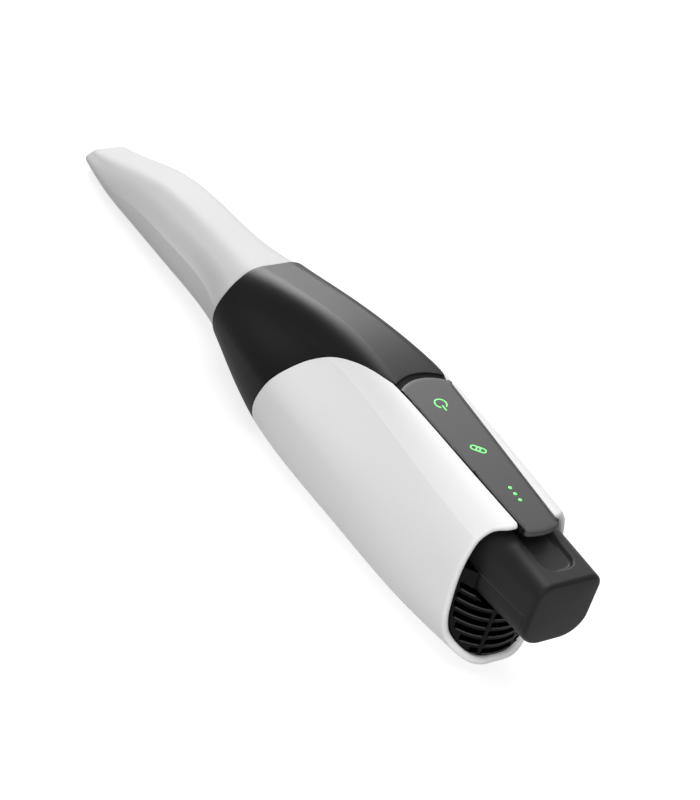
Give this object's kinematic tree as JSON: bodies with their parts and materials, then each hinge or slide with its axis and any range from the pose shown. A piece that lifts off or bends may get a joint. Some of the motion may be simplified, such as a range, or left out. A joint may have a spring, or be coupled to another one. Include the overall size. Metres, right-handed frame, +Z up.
{
  "type": "intraoral scanner",
  "caption": "Cordless intraoral scanner with a white grip, black neck, pull-off sleeve, touch panel and battery.",
  "frame": {"origin": "centre of the flat underside that the scanner rests on", "axes": "+X to the scanning tip, +Y to the left side, +Z up"},
  "size_m": [0.273, 0.0486, 0.0562],
  "materials": {
    "white_shell": "satin",
    "white_sleeve": "matte",
    "black_housing": "satin",
    "grey_panel": "satin",
    "green_light": "frosted",
    "circuit_board": "matte",
    "chip_black": "matte",
    "aluminium": "satin",
    "steel": "brushed",
    "brass": "polished",
    "rubber": "matte",
    "optical_glass": "polished",
    "mirror": "polished",
    "cell_wrap": "gloss",
    "copper": "enamelled"
  },
  "bodies": {
    "base": {"grip_shell": "white_shell", "neck_housing": "black_housing", "key_panel": "grey_panel", "power_light": "green_light", "link_light": "green_light", "charge_lights": "green_light", "keypad_board": "circuit_board", "status_leds": "chip_black", "neck_seal": "rubber", "battery_bay": "black_housing", "fan_grille": "black_housing", "fan_frame": "black_housing", "fan_pin": "steel", "contact_block": "black_housing", "contact_pins": "brass", "chassis": "aluminium", "heat_sink": "aluminium", "processor": "chip_black", "main_board": "circuit_board", "board_screws": "steel", "optics_bench": "aluminium", "bench_screws": "steel", "guide_rods": "steel", "snout_tube": "black_housing", "relay_lens": "optical_glass", "front_lens": "optical_glass", "coil_magnet": "steel", "beam_splitter": "optical_glass", "led_module": "chip_black", "sensor_board": "circuit_board", "image_sensor": "chip_black"},
    "sleeve": {"scan_sleeve": "white_sleeve", "sleeve_window": "optical_glass", "mirror_carrier": "black_housing", "sleeve_mirror": "mirror"},
    "battery": {"battery_cover": "black_housing", "battery_tray": "black_housing", "battery_cell": "cell_wrap", "battery_contacts": "brass"},
    "fan": {"fan_rotor": "black_housing"},
    "focus": {"focus_carriage": "black_housing", "focus_lens": "optical_glass", "focus_coil": "copper"}
  },
  "joints": [
    {"name": "sleeve_slide", "type": "slide", "parent": "base", "child": "sleeve", "axis": [1, 0, 0], "range_m": [0, 0.06]},
    {"name": "battery_slide", "type": "slide", "parent": "base", "child": "battery", "axis": [-1, 0, 0], "range_m": [0, 0.05]},
    {"name": "fan_spin", "type": "hinge", "parent": "base", "child": "fan", "pos_m": [-0.04, 0, 0.015], "axis": [1, 0, 0], "continuous": true},
    {"name": "focus_slide", "type": "slide", "parent": "base", "child": "focus", "axis": [1, 0, 0], "range_m": [-0.005, 0.005]}
  ]
}
